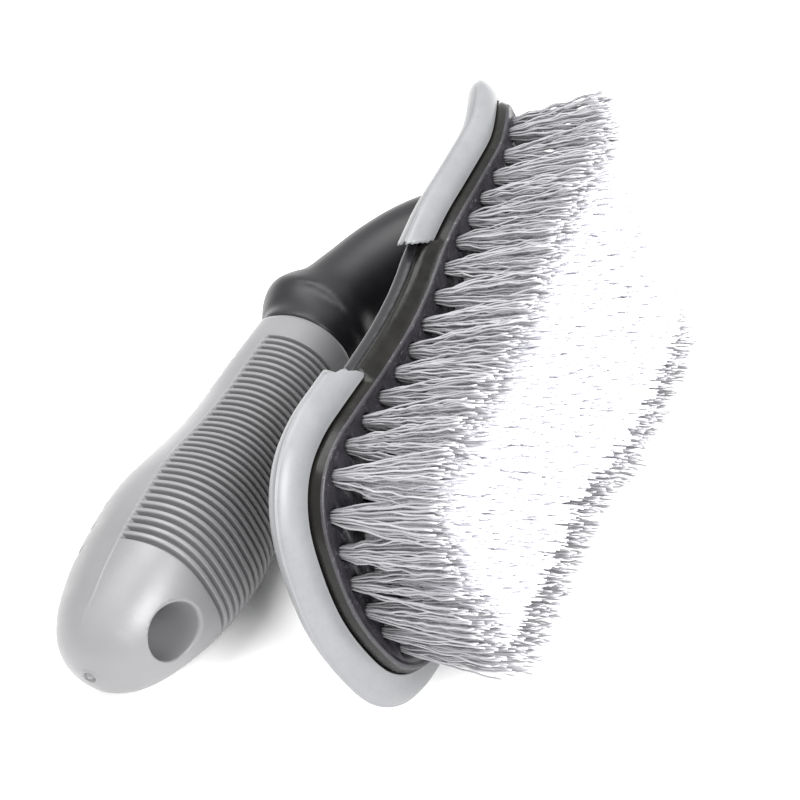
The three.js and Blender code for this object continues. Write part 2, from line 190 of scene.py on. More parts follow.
# ---------------------------------------------------------------- placing
TURN = Matrix.Rotation(REST_PITCH, 3, "Y") @ Matrix.Rotation(REST_ROLL, 3, "X")


def find_shift():
    """Where the upright frame's origin lies in the row frame, in mm, from the record's mount."""
    mount = next(m for m in frame["record"]["mounts"] if m["name"] == "head_back")
    return Vector(mount["pos_m"]) * MM - TURN @ Vector(BACK_MOUNT_UPRIGHT)


SHIFT = np.array(find_shift())
TURN_NP = np.array(TURN)


def to_row(points):
    """Upright millimetres to row-frame metres."""
    return (np.asarray(points, float) @ TURN_NP.T + SHIFT) / MM


def smooth(t):
    s = np.clip(t, 0.0, 1.0)
    return s * s * (3 - 2 * s)


def make_piece(name, points, faces, smooth_shading=True):
    """A mesh object from upright points and faces, its normals turned out."""
    mesh = bpy.data.meshes.new(name)
    mesh.from_pydata(to_row(points).tolist(), [], faces)
    bm = bmesh.new()
    bm.from_mesh(mesh)
    bmesh.ops.remove_doubles(bm, verts=bm.verts, dist=1e-7)
    bmesh.ops.recalc_face_normals(bm, faces=bm.faces)
    bm.to_mesh(mesh)
    bm.free()
    if smooth_shading:
        mesh.shade_smooth()
    piece = bpy.data.objects.new(name, mesh)
    bpy.context.scene.collection.objects.link(piece)
    return piece


def apply_modifiers(piece):
    bpy.context.view_layer.update()
    graph = bpy.context.evaluated_depsgraph_get()
    mesh = bpy.data.meshes.new_from_object(piece.evaluated_get(graph))
    piece.modifiers.clear()
    piece.data = mesh
    return piece


def cut(piece, cutter):
    """Takes the cutter's space out of the piece."""
    mod = piece.modifiers.new("cut", "BOOLEAN")
    mod.operation, mod.solver, mod.object = "DIFFERENCE", "MANIFOLD", cutter
    apply_modifiers(piece)
    bpy.data.objects.remove(cutter)
    return piece


def settle(piece, slot, nodes, *materials):
    """The piece rides on the frame, stands for its CAD nodes and wears its materials."""
    if materials:
        piece.data.materials.clear()
    for material in materials:
        piece.data.materials.append(material)
    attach(piece, "root")
    if nodes:
        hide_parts(*nodes)
    return piece


# ---------------------------------------------------------------- curves and lofts
def spline(points, steps, closed=False):
    """Centripetal Catmull-Rom through the points: positions and tangents."""
    pts = np.asarray(points, float)
    n = len(pts)
    places, tangents = [], []
    spans = n if closed else n - 1
    for i in range(spans):
        if closed:
            p0, p1, p2, p3 = (pts[(i + k) % n] for k in (-1, 0, 1, 2))
        else:
            p1, p2 = pts[i], pts[i + 1]
            p0 = pts[i - 1] if i else 2 * p1 - p2
            p3 = pts[i + 2] if i + 2 < n else 2 * p2 - p1
        spans_here = ((p0, p1), (p1, p2), (p2, p3))
        d0, d1, d2 = (max(np.linalg.norm(b - a) ** 0.5, 1e-4) for a, b in spans_here)
        t1 = ((p1 - p0) / d0 - (p2 - p0) / (d0 + d1) + (p2 - p1) / d1) * d1
        t2 = ((p2 - p1) / d1 - (p3 - p1) / (d1 + d2) + (p3 - p2) / d2) * d1
        for k in range(steps + (0 if closed or i + 1 < spans else 1)):
            s = k / steps
            c2 = -3 * p1 + 3 * p2 - 2 * t1 - t2
            c3 = 2 * p1 - 2 * p2 + t1 + t2
            places.append(p1 + t1 * s + c2 * s**2 + c3 * s**3)
            tangents.append(t1 + 2 * c2 * s + 3 * c3 * s**2)
    return np.array(places), np.array(tangents)


def loft(rings, ends=("fan", "fan")):
    """Points and faces of a skin through rings of equal length. A 'ladder' end joins mirrored
    points of a ring that starts on the centreline, a 'fan' end meets at a middle point."""
    rings = [np.asarray(r, float) for r in rings]
    n = len(rings[0])
    points = [p for r in rings for p in r]
    faces = []
    for r in range(len(rings) - 1):
        a, b = r * n, (r + 1) * n
        faces += [(a + i, a + (i + 1) % n, b + (i + 1) % n, b + i) for i in range(n)]
    for start, kind in ((0, ends[0]), ((len(rings) - 1) * n, ends[1])):
        if kind == "ladder":
            for i in range(n // 2):
                quad = [start + i, start + i + 1, start + (n - i - 1) % n, start + (n - i) % n]
                faces.append(tuple(dict.fromkeys(quad)))
        elif kind == "fan":
            points.append(np.mean(rings[0 if start == 0 else -1], axis=0))
            faces += [(len(points) - 1, start + i, start + (i + 1) % n) for i in range(n)]
    return np.array(points), faces


def lift(x):
    x = np.asarray(x, float)
    run = np.clip(x, None, KICK_END) - KICK_START
    run = np.clip(run, 0, None)
    beyond = np.clip(x - KICK_END, 0, None)
    return KICK_CURVE * run**2 + 2 * KICK_CURVE * (KICK_END - KICK_START) * beyond


def slope(x):
    return 2 * KICK_CURVE * np.clip(np.clip(x, None, KICK_END) - KICK_START, 0, None)


def bare(x):
    return smooth((WAIST_FRONT - x) / WAIST_BLEND + 0.5) * smooth((x - WAIST_REAR) / WAIST_BLEND + 0.5)


class Ring:
    """The outer tuft ring, its outward normals, and level lines outside it."""

    def __init__(self, steps):
        half = [(x, -w) for x, w in RING]
        other = [(x, w) for x, w in reversed(RING[1:-1])]
        self.places, tangents = spline(half + other, steps, closed=True)
        normals = np.stack([-tangents[:, 1], tangents[:, 0]], axis=1)
        normals /= np.linalg.norm(normals, axis=1)[:, None]
        self.normals = normals if normals[0, 0] > 0 else -normals

    def level(self, reach, height):
        """The closed line at a reach outside the ring and a height over the bristle face."""
        out = np.broadcast_to(reach, len(self.places))[:, None]
        flat = self.places + self.normals * out
        return np.column_stack([flat, height + lift(flat[:, 0])])


ring = Ring(RING_DETAIL)
waist = bare(ring.places[:, 0])


def edge(bare_reach):
    return SEAT + (bare_reach - SEAT) * waist


# ---------------------------------------------------------------- tuft places
def ring_tufts():
    """Places and outward normals of the grey tufts."""
    fine = Ring(20)
    gaps = np.linalg.norm(np.roll(fine.places, -1, axis=0) - fine.places, axis=1)
    along = np.concatenate([[0], np.cumsum(gaps)])
    count = round(along[-1] / TUFT_PITCH)
    picks = [int(np.argmin(np.abs(along[:-1] - along[-1] * k / count))) for k in range(count)]
    return [(fine.places[i], fine.normals[i]) for i in picks]


def half_width(x):
    xs = [p[0] for p in RING[3:]][::-1]
    ws = [p[1] for p in RING[3:]][::-1]
    return float(np.interp(x, xs, ws))


def field_tufts():
    """Places of the white tufts, row by row."""
    rows = []
    for k, y in enumerate(FIELD_ROWS):
        xs = np.arange(RING[-1][0] + FIELD_MARGIN, RING[0][0] - FIELD_MARGIN, 0.5)
        outermost = k in (0, len(FIELD_ROWS) - 1)
        room = FIELD_EDGE_ROOM if outermost else FIELD_MARGIN - 0.4 + abs(y)
        xs = [x for x in xs if half_width(x) >= room]
        first, last = xs[0] + 1.2, xs[-1] - 1.2
        count = max(2, round((last - first) / FIELD_PITCH) + 1)
        shift = 0.0 if k % 2 else 0.25 * FIELD_PITCH
        places = np.linspace(first + shift, last - shift, count)
        rows.append([
            np.array([x, math.copysign(min(abs(y), half_width(x) - FIELD_EDGE), y)])
            for x in places])
    return rows


GREY = ring_tufts()
WHITE = field_tufts()


# ---------------------------------------------------------------- materials
def new_material(name, colour, roughness, **sockets):
    material = bpy.data.materials.new(name)
    material.use_nodes = True
    shader = material.node_tree.nodes["Principled BSDF"]
    shader.inputs["Base Color"].default_value = (*colour, 1)
    shader.inputs["Roughness"].default_value = roughness
    for key, value in sockets.items():
        shader.inputs[key.replace("_", " ")].default_value = value
    return material, material.node_tree, shader


def noise(tree, scale, detail=4.0, rough=0.55):
    coords = tree.nodes.new("ShaderNodeTexCoord")
    node = tree.nodes.new("ShaderNodeTexNoise")
    node.inputs["Scale"].default_value = scale
    node.inputs["Detail"].default_value = detail
    node.inputs["Roughness"].default_value = rough
    tree.links.new(coords.outputs["Object"], node.inputs["Vector"])
    return node.outputs["Fac"]


def ramp(tree, value, stops):
    node = tree.nodes.new("ShaderNodeValToRGB")
    while len(node.color_ramp.elements) < len(stops):
        node.color_ramp.elements.new(0.5)
    for element, (place, colour) in zip(node.color_ramp.elements, stops):
        element.position = place
        element.color = (*colour, 1)
    tree.links.new(value, node.inputs["Fac"])
    return node.outputs["Color"]


def spread(tree, value, low, high, start=0.0, end=1.0):
    node = tree.nodes.new("ShaderNodeMapRange")
    for key, number in (("From Min", start), ("From Max", end), ("To Min", low), ("To Max", high)):
        node.inputs[key].default_value = number
    tree.links.new(value, node.inputs["Value"])
    return node.outputs["Result"]


def mix(tree, kind, share, first, second):
    node = tree.nodes.new("ShaderNodeMix")
    node.data_type = "RGBA"
    node.blend_type = kind
    for socket, value in ((node.inputs[0], share), (node.inputs[6], first), (node.inputs[7], second)):
        if isinstance(value, (int, float)):
            socket.default_value = value
        elif isinstance(value, tuple):
            socket.default_value = (*value, 1)
        else:
            tree.links.new(value, socket)
    return node.outputs[2]


def bump(tree, shader, heights):
    """Bumps in mm, finest last, on the shader's normal."""
    before = None
    for value, distance in heights:
        node = tree.nodes.new("ShaderNodeBump")
        node.inputs["Strength"].default_value = 1.0
        node.inputs["Distance"].default_value = distance / MM
        tree.links.new(value, node.inputs["Height"])
        if before:
            tree.links.new(before, node.inputs["Normal"])
        before = node.outputs["Normal"]
    tree.links.new(before, shader.inputs["Normal"])


def grip_material():
    material, tree, shader = new_material("grip_rubber", (0.16, 0.16, 0.163), 0.5)
    cloud = noise(tree, 28, 3)
    grain = noise(tree, 1400, 2)
    colour = ramp(tree, cloud, [(0.3, (0.13, 0.1285, 0.132)), (0.7, (0.164, 0.162, 0.168))])
    speckle = ramp(tree, grain, [(0.3, (0.8, 0.8, 0.8)), (0.7, (1, 1, 1))])
    tree.links.new(mix(tree, "MULTIPLY", 0.12, colour, speckle), shader.inputs["Base Color"])
    tree.links.new(spread(tree, noise(tree, 90, 3), 0.36, 0.48, 0.3, 0.7), shader.inputs["Roughness"])
    bump(tree, shader, [(noise(tree, 300, 3), 0.03), (grain, 0.02)])
    return material


def bumper_material():
    material, tree, shader = new_material("bumper_rubber", (0.15, 0.152, 0.16), 0.4)
    cloud = noise(tree, 45, 4)
    scuff = noise(tree, 420, 5, 0.7)
    colour = ramp(tree, cloud, [(0.3, (0.14, 0.144, 0.15)), (0.7, (0.182, 0.184, 0.19))])
    marks = ramp(tree, scuff, [(0.32, (0.72, 0.73, 0.75)), (0.5, (1, 1, 1))])
    tree.links.new(mix(tree, "MULTIPLY", 0.25, colour, marks), shader.inputs["Base Color"])
    tree.links.new(spread(tree, cloud, 0.34, 0.5, 0.3, 0.7), shader.inputs["Roughness"])
    bump(tree, shader, [(cloud, 0.2), (scuff, 0.03)])
    return material


def black_material():
    material, tree, shader = new_material("moulded_plastic", (0.012, 0.011, 0.013), 0.45,
                                          Specular_IOR_Level=0.3)
    cloud = noise(tree, 60, 4)
    grain = noise(tree, 1600, 2)
    tree.links.new(ramp(tree, cloud, [(0.3, (0.006, 0.0055, 0.007)), (0.7, (0.011, 0.010, 0.0125))]),
                   shader.inputs["Base Color"])
    tree.links.new(spread(tree, cloud, 0.36, 0.46, 0.3, 0.7), shader.inputs["Roughness"])
    bump(tree, shader, [(noise(tree, 220, 3), 0.02), (grain, 0.012)])
    return material


def block_material():
    material, tree, shader = new_material("bristle_block_plastic", (0.025, 0.022, 0.028), 0.4)
    cloud = noise(tree, 120, 5, 0.65)
    dust = noise(tree, 900, 4, 0.7)
    colour = ramp(tree, cloud, [(0.3, (0.008, 0.0072, 0.0095)), (0.7, (0.02, 0.018, 0.023))])
    specks = ramp(tree, dust, [(0.6, (0, 0, 0)), (0.72, (0.12, 0.112, 0.13))])
    tree.links.new(mix(tree, "ADD", 0.8, colour, specks), shader.inputs["Base Color"])
    tree.links.new(spread(tree, cloud, 0.32, 0.55, 0.3, 0.7), shader.inputs["Roughness"])
    bump(tree, shader, [(cloud, 0.12), (dust, 0.04)])
    return material


# Painted shade: the side wall's base colour is made darker than the face's so that the side reads dark under
# the lamps. Its low roughness is the plastic's real gloss.
def painted_shade_wall_material():
    material, tree, shader = new_material("plate_wall_painted_shade", (0.005, 0.005, 0.0045), 0.22, Specular_IOR_Level=0.2)
    cloud = noise(tree, 90, 3)
    tree.links.new(ramp(tree, cloud, [(0.3, (0.003, 0.0029, 0.0028)), (0.7, (0.009, 0.0086, 0.0072))]),
                   shader.inputs["Base Color"])
    tree.links.new(spread(tree, noise(tree, 300, 4), 0.16, 0.36, 0.3, 0.7), shader.inputs["Roughness"])
    bump(tree, shader, [(cloud, 0.15), (noise(tree, 900, 3), 0.02)])
    return material


def attribute(tree, name):
    node = tree.nodes.new("ShaderNodeAttribute")
    node.attribute_name = name
    return node.outputs["Fac"]


def strand_material(name, root, middle, tip, roughness):
    """Colour runs along each filament, and no two filaments are quite alike."""
    material, tree, shader = new_material(name, middle, roughness)
    along = attribute(tree, "along")
    shade = attribute(tree, "shade")
    colour = ramp(tree, along, [(0.0, root), (0.25, middle), (0.93, middle), (0.985, tip)])
    tone = ramp(tree, shade, [(0.0, (0.8, 0.8, 0.8)), (1.0, (1.0, 1.0, 1.0))])
    tree.links.new(mix(tree, "MULTIPLY", 1.0, colour, tone), shader.inputs["Base Color"])
    streak = noise(tree, 2200, 2)
    tree.links.new(spread(tree, streak, roughness - 0.06, roughness + 0.08, 0.3, 0.7),
                   shader.inputs["Roughness"])
    bump(tree, shader, [(streak, 0.01)])
    return material


def floor_material():
    material, tree, shader = new_material("floor_paper", (0.9, 0.9, 0.9), 0.85)
    tree.links.new(ramp(tree, noise(tree, 3), [(0.3, (0.925, 0.925, 0.925)), (0.7, (0.94, 0.94, 0.94))]),
                   shader.inputs["Base Color"])
    return material


# ---------------------------------------------------------------- head
def cylinder_rings(centre, radius, low, high, sides):
    a = np.linspace(0, 2 * np.pi, sides, endpoint=False)
    circle = np.column_stack([centre[0] + radius * np.cos(a), centre[1] + radius * np.sin(a)])
    return [np.column_stack([circle, np.full(sides, low)]), np.column_stack([circle, np.full(sides, high)])]


def make_block(face_material, painted_shade_wall_material):
    """The plate that holds the tufts, with its rim, a glossy side wall darkened with painted shade and a
    well round every tuft.
    """
    rings = [ring.level(LIP + out, height) for out, height in LIP_SECTION]
    rings += [ring.level(edge(reach), height) for reach, height in WALL_SECTION]
    rings.append(ring.level(BLOCK_TOP_REACH, BLOCK_TOP))
    points, faces = loft(rings, ("ladder", "ladder"))
    block = make_piece("bristle_plate", points, faces)
    block.data.materials.append(face_material)
    block.data.materials.append(painted_shade_wall_material)
    # Faces past the lip take the second material, whose darker colour is painted shade.
    painted_shade_from = (len(LIP_SECTION) - 1) * len(ring.places)
    for polygon, face in zip(block.data.polygons, faces):
        polygon.material_index = int(min(face) >= painted_shade_from and len(face) == 4)
    well_points, well_faces, first = [], [], 0
    for x, y in [p for p, _ in GREY] + [p for row in WHITE for p in row]:
        top = float(lift(x))
        points, faces = loft(cylinder_rings((x, y), WELL_R, top - WELL_CLEAR, top + WELL_DEEP, WELL_SIDES))
        well_points.append(points)
        well_faces += [tuple(i + first for i in face) for face in faces]
        first += len(points)
    wells = make_piece("wells", np.concatenate(well_points), well_faces, smooth_shading=False)
    wells.data.materials.append(face_material)
    cut(block, wells)
    return block


def neck_rings():
    flat = []
    for i, (x, z, tall, wide, along, kept) in enumerate(NECK):
        before, after = NECK[max(0, i - 1)], NECK[min(len(NECK) - 1, i + 1)]
        d = np.array(along if along else (after[0] - before[0], after[1] - before[1]), float)
        d /= np.linalg.norm(d)
        flat.append((x, z, tall, wide, *(d * NECK_REACH), kept * NECK_WEIGHT))
    fine, _ = spline(flat, NECK_FINE)
    a = np.linspace(0, 2 * np.pi, NECK_SIDES, endpoint=False)
    rings = []
    for x, z, tall, wide, dx, dz, kept in fine:
        length = math.hypot(dx, dz)
        kept = min(kept / NECK_WEIGHT, 1.0)
        palm = np.sin(a) < 0
        square = 2 + (PALM_SQUARE - 2) * min((1 - kept) / (1 - PALM_FLAT), 1.0)
        power = np.where(palm, 2 / square, 1.0)
        up = tall * np.where(palm, kept, 1.0) * np.sign(np.sin(a)) * np.abs(np.sin(a)) ** power
        across = wide * np.sign(np.cos(a)) * np.abs(np.cos(a)) ** power
        rings.append(np.column_stack([x - dz / length * up, -across, z + dx / length * up]))
    last = rings[-1]
    middle = last.mean(axis=0)
    for share, back in NECK_LIP:
        rings.append(middle + (last - middle) * share - (back, 0, 0))
    return rings


def make_body():
    """The back shell and the neck, run together into one moulding."""
    shell = [ring.level(seated + (bare_reach - seated) * waist, height)
             for seated, bare_reach, height in SHELL_SECTION]
    points, faces = loft(shell, ("ladder", "ladder"))
    body = make_piece("head_and_neck", points, faces)
    neck = make_piece("neck", *loft(neck_rings()))
    bm = bmesh.new()
    bm.from_mesh(body.data)
    bm.from_mesh(neck.data)
    bm.to_mesh(body.data)
    bm.free()
    bpy.data.objects.remove(neck)
    remesh = body.modifiers.new("remesh", "REMESH")
    remesh.mode = "VOXEL"
    remesh.voxel_size = BODY_VOXEL / MM
    ease = body.modifiers.new("ease", "SMOOTH")
    ease.factor, ease.iterations = BODY_EASE, BODY_EASE_ROUNDS
    apply_modifiers(body)
    body.data.shade_smooth()
    return body


def make_bumper(which):
    """A rubber bumper with its moulding line, ragged where it ends at the waist."""
    front = which == "front"
    rng = np.random.default_rng(SEED + front)
    inner_x, outer_x = BUMPER_ENDS[which]
    reach_all = BUMPER_OUT[which] - BUMPER_INNER
    section, _ = spline(BUMPER_SECTION, 2)
    dense = Ring(RING_DETAIL)
    n = len(dense.places)
    order = (np.arange(n) + (n // 2 if front else 0)) % n
    places, normals = dense.places[order], dense.normals[order]
    half = n // 2

    def at_x(x, side):
        """The ring's place and normal at x, on the side of y's sign."""
        p, q = dense.places[:half + 1], dense.normals[:half + 1]
        xs = p[:, 0][::-1]
        y, nx, ny = (np.interp(x, xs, v[::-1]) for v in (p[:, 1], q[:, 0], q[:, 1]))
        return np.array([x, -side * y]), np.array([nx, -side * ny])

    def end_ring(side, back, jag=True):
        line = []
        for share, height in section:
            ragged = rng.uniform(-END_JAG, END_JAG) * (1.0 if jag else 0.0)
            x = inner_x + (outer_x - inner_x) * np.clip(share, 0, 1) ** END_CURVE[which]
            x += ragged + (back if front else -back)
            place, normal = at_x(x, side)
            flat = place + normal * (BUMPER_INNER + reach_all * share)
            line.append((*flat, height + lift(flat[0])))
        return np.array(line)

    if front:
        keep = places[:, 0] > inner_x + END_CLEAR[which]
    else:
        keep = places[:, 0] < outer_x + END_CLEAR[which]
    rings = []
    for place, normal in zip(places[keep], normals[keep]):
        flat = place + normal * (BUMPER_INNER + reach_all * section[:, :1])
        rings.append(np.column_stack([flat, section[:, 1] + lift(flat[:, 0])]))
    first = -1 if rings[0][0, 1] < 0 else 1
    edge_step, inside_step = END_STEPS
    head = [end_ring(first, edge_step), end_ring(first, inside_step, jag=False)]
    tail = [end_ring(-first, inside_step, jag=False), end_ring(-first, edge_step)]
    points, faces = loft([*head, *rings, *tail])
    return make_piece("bumper_" + which + "_rubber", points, faces)


# ---------------------------------------------------------------- grip
def grip_profile():
    """Half width against x, round at the tip."""
    outline = [(-102.6, -6.0), *GRIP_RADII]
    fine, _ = spline(outline, 16)
    fine = fine[16:]
    return fine[:, 0], fine[:, 1]


PROFILE_X, PROFILE_R = grip_profile()


def grip_stations():
    pitch = (RIB_FIRST - RIB_LAST) / (RIB_COUNT - 1)
    xs = [x for x in PROFILE_X[1:] if x < RIB_LAST - pitch / 2 or x > RIB_FIRST + pitch / 2]
    for k in range(RIB_COUNT):
        centre = RIB_LAST + k * pitch
        xs += [centre + s * o for o in RIB_STATIONS for s in (-1, 1)] + [centre + pitch / 2]
    xs += list(np.arange(-82, RIB_LAST - 1.3, 0.6))
    xs = sorted(set(np.round(xs, 3)))
    return np.array([x for i, x in enumerate(xs) if i == 0 or x - xs[i - 1] > 0.02])


def grip_angles():
    """Angles round the section, closer together at the sides where the ribs end."""
    angles = UPPER_ANGLES + [180 - a for a in UPPER_ANGLES[::-1][1:]]
    angles += [180 + a for a in LOWER_ANGLES] + [360 - a for a in LOWER_ANGLES[::-1][1:]]
    return np.radians(angles)


def grip_depth(x, a):
    """How far the surface sits under the plain section, in mm."""
    pitch = (RIB_FIRST - RIB_LAST) / (RIB_COUNT - 1)
    k = np.clip(np.round((x - RIB_LAST) / pitch), 0, RIB_COUNT - 1)
    off = np.abs(x - (RIB_LAST + k * pitch))
    groove = smooth((GROOVE_HALF - off) / GROOVE_EDGE)
    crown = RIB_CROWN * np.clip(1 - off / (pitch / 2), 0, 1) ** 2
    _, up = grip_section(x, a)
    dip = SEAM_DIP * smooth((SEAM_DIP_FROM - x) / SEAM_DIP_RUN)
    dip *= smooth((x - SEAM_DIP_TIP) / SEAM_DIP_TIP_RUN)
    up = up + dip / np.interp(x, PROFILE_X, PROFILE_R) / GRIP_TALL
    below = smooth((-up - 0.012) / 0.05)
    inside = (x > RIB_LAST - pitch / 2) & (x < RIB_FIRST + pitch / 2)
    ribs = (RIB_DEPTH * groove + crown) * below * inside
    j = np.clip(np.round((x - DIMPLE_REAR) / DIMPLE_PITCH), 0, DIMPLE_COUNT - 1)
    along = (x - (DIMPLE_REAR + j * DIMPLE_PITCH)) / DIMPLE_HALF
    round_top = (a - np.pi / 2) / DIMPLE_REACH
    oval = np.sqrt(along**2 + np.abs(round_top) ** 3)
    dimple = DIMPLE_DEPTH * smooth((1.0 - oval) / 0.45)
    rise = SEAM_HIGH * np.exp(-((up / SEAM_HALF) ** 2))
    rise *= smooth((x - SEAM_START) / SEAM_FADE) * (x < RIB_FIRST)
    return ribs + dimple - rise


def grip_axis(x):
    return GRIP_AXIS_Z - GRIP_DROP * smooth((GRIP_DROP_FROM - x) / GRIP_DROP_RUN)


def grip_square(x):
    """How square the finger side's section is; 2 is an ellipse."""
    front = np.clip((GRIP_RADII[-1][0] - x) / GRIP_SQUARE_RUN, 0, 1)
    tip = np.clip((x - TIP_ROUND[0]) / (TIP_ROUND[1] - TIP_ROUND[0]), 0, 1)
    return 2 + (GRIP_SQUARE - 2) * front * tip


def grip_section(x, a):
    """Unit section of the grip at x: across and up, for the angles a."""
    flat = smooth((x - GRIP_RADII[-1][0] + PALM_RUN) / PALM_RUN)
    power = 2 / np.where(np.sin(a) < 0, grip_square(x), 2 + (PALM_SQUARE - 2) * flat)
    across = np.sign(np.cos(a)) * np.abs(np.cos(a)) ** power
    up = np.sign(np.sin(a)) * np.abs(np.sin(a)) ** power
    return across, up * np.where(up > 0, 1 - (1 - PALM_FLAT) * flat, 1.0)


def grip_skin(x, a):
    r = np.interp(x, PROFILE_X, PROFILE_R)
    d = grip_depth(x, a)
    across, up = grip_section(x, a)
    return np.column_stack([
        np.full(len(a), x), -(r - d) * across, grip_axis(x) + (r * GRIP_TALL - d) * up])


def hang_cutter():
    """The hanging hole as a solid, flared a little where it meets the skin."""
    t = np.linspace(0, 2 * np.pi, HANG_SIDES, endpoint=False)

    def skin_height(radius, side):
        x, y = HANG_X + radius * np.cos(t), radius * np.sin(t)
        r = np.interp(x, PROFILE_X, PROFILE_R)
        power = grip_square(HANG_X) if side < 0 else 2.0
        return GRIP_TALL * r * np.clip(1 - np.abs(y / r) ** power, 0.02, None) ** (1 / power)

    rings = []
    for side in (1, -1):
        part = []
        for out, height in HANG_RIM:
            radius = HANG_R + out
            z = grip_axis(HANG_X) + side * (skin_height(radius, side) + height)
            part.append(np.column_stack([HANG_X + radius * np.cos(t), radius * np.sin(t), z]))
        rings += part[::-1] if side > 0 else part
    return make_piece("hang_cutter", *loft(rings))


def make_grip():
    """The rubber grip: ribs under the fingers, dimples under the thumb, a moulding line."""
    angles = grip_angles()
    tip_x = np.interp([r for r, _ in GATE], PROFILE_R[:GATE_POINTS], PROFILE_X[:GATE_POINTS])
    rings = []
    for (radius, high), x in zip(GATE, tip_x):
        across, up = grip_section(x, angles)
        rings.append(np.column_stack([
            np.full(len(angles), x + high), -radius * across, grip_axis(x) + radius * GRIP_TALL * up]))
    stations = [x for x in grip_stations() if x > tip_x[-1] + 0.02]
    rings += [grip_skin(x, angles) for x in stations]
    last = rings[-1]
    middle = np.array([last[0, 0], 0, GRIP_AXIS_Z])
    for share, ahead in COLLAR_END:
        rings.append(middle + (last - middle) * (1, share, share) + (ahead, 0, 0))
    grip = make_piece("grip_sleeve", *loft(rings))
    cut(grip, hang_cutter())
    return grip


# ---------------------------------------------------------------- bristles
def strands(roots, axes, lengths, spread_out, tuft_of, rng, segments, sides):
    """Crimped filaments as one array of ring points, and their tips. roots are (n, 3), axes unit vectors,
    spread_out the sideways run of each tip."""
    count = len(roots)
    s = np.linspace(0, 1, segments + 1)
    helper = np.where(np.abs(axes[:, :1]) > 0.9, (0.0, 1.0, 0.0), (1.0, 0.0, 0.0))
    u = np.cross(axes, helper)
    u /= np.linalg.norm(u, axis=1)[:, None]
    v = np.cross(axes, u)
    tufts = tuft_of.max() + 1
    turn = rng.uniform(0, 2 * np.pi, tufts)[tuft_of] + rng.normal(0, 0.9, count)
    side = u * np.cos(turn)[:, None] + v * np.sin(turn)[:, None]
    other = np.cross(axes, side)
    wave = rng.uniform(*STRAND_WAVE, tufts)[tuft_of] * rng.uniform(0.9, 1.1, count)
    phase = rng.uniform(0, 2 * np.pi, tufts)[tuft_of] + rng.normal(0, 1.1, count)
    size = rng.uniform(*STRAND_SWING, count)
    bow = rng.normal(0, STRAND_BOW, (count, 2))
    length = lengths[:, None] * s
    ramp_in = smooth(length / 6.0)
    turns = 2 * np.pi * length / wave[:, None]
    crimp = size[:, None] * ramp_in * np.sin(turns + phase[:, None])
    second = 0.4 * size[:, None] * ramp_in * np.sin(turns / 0.63 + 2 * phase[:, None])
    run = 1 - (1 - s) ** STRAND_FLARE
    path = roots[:, None] + axes[:, None] * length[:, :, None] + spread_out[:, None] * run[None, :, None]
    path += side[:, None] * (crimp + bow[:, :1] * s**2)[:, :, None]
    path += other[:, None] * (second + bow[:, 1:] * s**2)[:, :, None]
    tangent = np.gradient(path, axis=1)
    tangent /= np.linalg.norm(tangent, axis=2)[:, :, None]
    across = np.cross(tangent, side[:, None])
    across /= np.linalg.norm(across, axis=2)[:, :, None]
    up = np.cross(across, tangent)
    thick = STRAND_R * rng.uniform(0.9, 1.1, count)
    a = np.linspace(0, 2 * np.pi, sides, endpoint=False)
    circle = (np.cos(a)[:, None] * across[:, :, None] + np.sin(a)[:, None] * up[:, :, None])
    points = path[:, :, None] + circle * thick[:, None, None, None]
    tips = path[:, -1] + tangent[:, -1] * thick[:, None] * 0.6
    points[:, -1] = path[:, -1][:, None] + (points[:, -1] - path[:, -1][:, None]) * 0.8
    return points, tips


def strand_mesh(name, points, tips, rng):
    """A mesh object of all the filaments, with how far along each point is."""
    count, rows, sides, _ = points.shape
    per = rows * sides + 1
    verts = np.concatenate([points.reshape(count, rows * sides, 3), tips[:, None]], axis=1)
    r, k = np.meshgrid(np.arange(rows - 1), np.arange(sides), indexing="ij")
    r, k = r.ravel(), k.ravel()
    nxt = (k + 1) % sides
    low, high_side = r * sides, (r + 1) * sides
    quads = np.stack([low + k, low + nxt, high_side + nxt, high_side + k], axis=1)
    top = (rows - 1) * sides
    ks = np.arange(sides)
    tris = np.stack([top + ks, top + (ks + 1) % sides, np.full(sides, rows * sides)], axis=1)
    bottom = np.arange(sides)[::-1]
    corner, sizes = [], []
    for part in (quads, tris):
        corner.append(part.ravel())
        sizes += [part.shape[1]] * len(part)
    corner.append(bottom)
    sizes.append(sides)
    corner = np.concatenate(corner)
    starts = np.concatenate([[0], np.cumsum(sizes)[:-1]])
    loops = (corner[None] + (np.arange(count) * per)[:, None]).ravel()
    loop_starts = (starts[None] + (np.arange(count) * len(corner))[:, None]).ravel()
    mesh = bpy.data.meshes.new(name)
    mesh.vertices.add(count * per)
    mesh.vertices.foreach_set("co", to_row(verts.reshape(-1, 3)).astype(np.float32).ravel())
    mesh.loops.add(len(loops))
    mesh.loops.foreach_set("vertex_index", loops.astype(np.int32))
    mesh.polygons.add(len(loop_starts))
    mesh.polygons.foreach_set("loop_start", loop_starts.astype(np.int32))
    along = np.concatenate([np.repeat(np.linspace(0, 1, rows), sides), [1.0]])
    a = mesh.attributes.new("along", "FLOAT", "POINT")
    a.data.foreach_set("value", np.tile(along, count).astype(np.float32))
    b = mesh.attributes.new("shade", "FLOAT", "POINT")
    b.data.foreach_set("value", np.repeat(rng.uniform(0, 1, count), per).astype(np.float32))
    mesh.update(calc_edges=True)
    mesh.validate()
    mesh.shade_smooth()
    piece = bpy.data.objects.new(name, mesh)
    bpy.context.scene.collection.objects.link(piece)
    return piece


